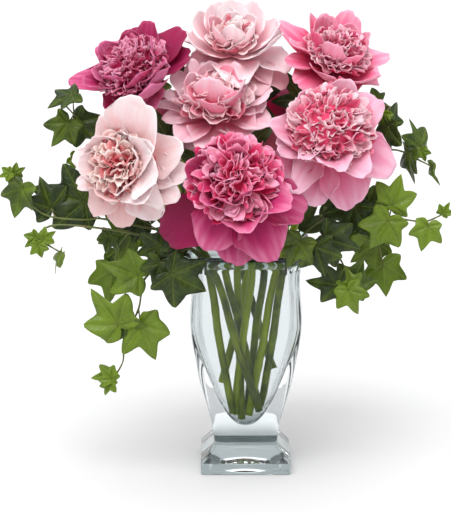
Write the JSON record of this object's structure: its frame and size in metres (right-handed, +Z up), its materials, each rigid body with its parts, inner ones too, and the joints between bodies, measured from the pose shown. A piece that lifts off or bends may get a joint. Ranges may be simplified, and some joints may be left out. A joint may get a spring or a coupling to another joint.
{
  "type": "peonies in a vase",
  "caption": "Full arrangement of double peonies with trailing ivy in a square, flared vase of thick clear glass that holds water.",
  "frame": {"origin": "middle of the vase foot's flat underside, at the surface it stands on", "axes": "+Z up; -Y towards the side that the fullest blooms face; +X to the right seen from there"},
  "size_m": [0.449, 0.2701, 0.4568],
  "materials": {
    "vase_glass": "polished",
    "water": "polished",
    "front_petal": "satin",
    "left_petal": "satin",
    "right_petal": "satin",
    "middle_petal": "satin",
    "top_left_petal": "satin",
    "top_petal": "satin",
    "top_right_petal": "satin",
    "back_right_petal": "satin",
    "back_left_petal": "satin",
    "back_petal": "satin",
    "stem": "satin",
    "calyx": "satin",
    "ivy": "satin"
  },
  "bodies": {
    "root": {"vase": "vase_glass", "water": "water", "front_stem": "stem", "front_calyx": "calyx", "front_guard_petals": "front_petal", "front_crown": "front_petal", "left_stem": "stem", "left_calyx": "calyx", "left_guard_petals": "left_petal", "left_crown": "left_petal", "right_stem": "stem", "right_calyx": "calyx", "right_guard_petals": "right_petal", "right_crown": "right_petal", "middle_stem": "stem", "middle_calyx": "calyx", "middle_guard_petals": "middle_petal", "middle_crown": "middle_petal", "top_left_stem": "stem", "top_left_calyx": "calyx", "top_left_guard_petals": "top_left_petal", "top_left_crown": "top_left_petal", "top_stem": "stem", "top_calyx": "calyx", "top_guard_petals": "top_petal", "top_crown": "top_petal", "top_right_stem": "stem", "top_right_calyx": "calyx", "top_right_guard_petals": "top_right_petal", "top_right_crown": "top_right_petal", "back_right_stem": "stem", "back_right_calyx": "calyx", "back_right_guard_petals": "back_right_petal", "back_right_crown": "back_right_petal", "back_left_stem": "stem", "back_left_calyx": "calyx", "back_left_guard_petals": "back_left_petal", "back_left_crown": "back_left_petal", "back_stem": "stem", "back_calyx": "calyx", "back_guard_petals": "back_petal", "back_crown": "back_petal", "ivy_left_upper": "ivy", "ivy_left_middle": "ivy", "ivy_left_twig": "ivy", "ivy_left_trail": "ivy", "ivy_left_rim": "ivy", "ivy_right_upper": "ivy", "ivy_right_top": "ivy", "ivy_right_middle": "ivy", "ivy_right_trail": "ivy", "ivy_right_rim": "ivy", "ivy_back_left": "ivy", "ivy_back_right": "ivy"}
  },
  "joints": []
}
